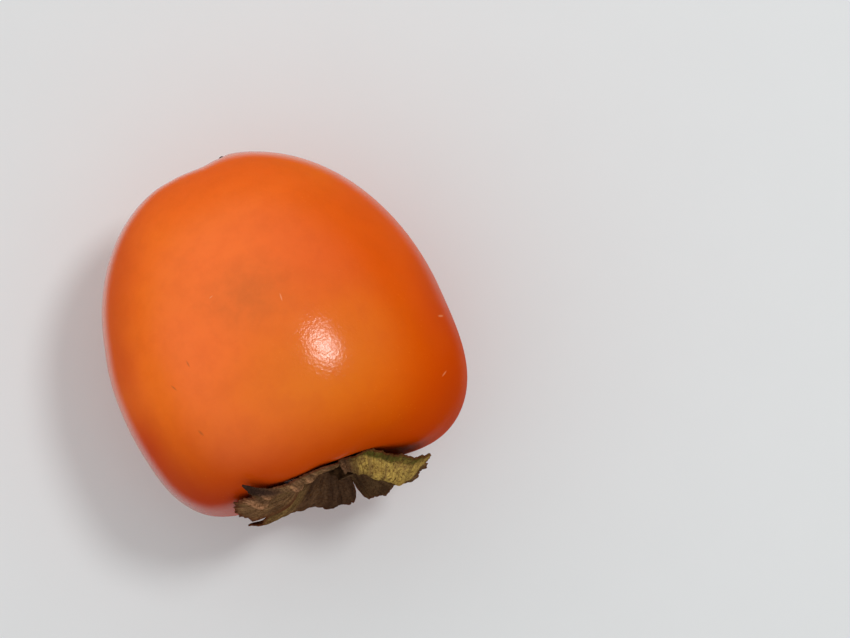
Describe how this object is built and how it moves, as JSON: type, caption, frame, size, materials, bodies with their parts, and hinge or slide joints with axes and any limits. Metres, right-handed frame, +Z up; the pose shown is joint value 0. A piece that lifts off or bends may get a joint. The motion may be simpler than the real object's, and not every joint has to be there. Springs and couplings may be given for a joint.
{
  "type": "persimmon, whole fruit with its dried calyx",
  "caption": "Whole ripe oblong persimmon lying on its side, with its dried lobed calyx, the cut stub of its stalk and the withered style at its blossom end.",
  "frame": {"origin": "the middle of the small flat spot of the skin that the fruit rests on", "axes": "+Z up from the table; +Y along the fruit from its calyx towards its blossom end; +X to the fruit's right, seen from the calyx"},
  "size_m": [0.0747, 0.0843, 0.0734],
  "materials": {
    "skin": "gloss",
    "sepal": "matte",
    "stalk_wood": "matte",
    "withered": "matte"
  },
  "bodies": {
    "root": {"fruit": "skin", "calyx": "sepal", "stalk_stub": "stalk_wood", "style_tip": "withered"}
  },
  "joints": []
}
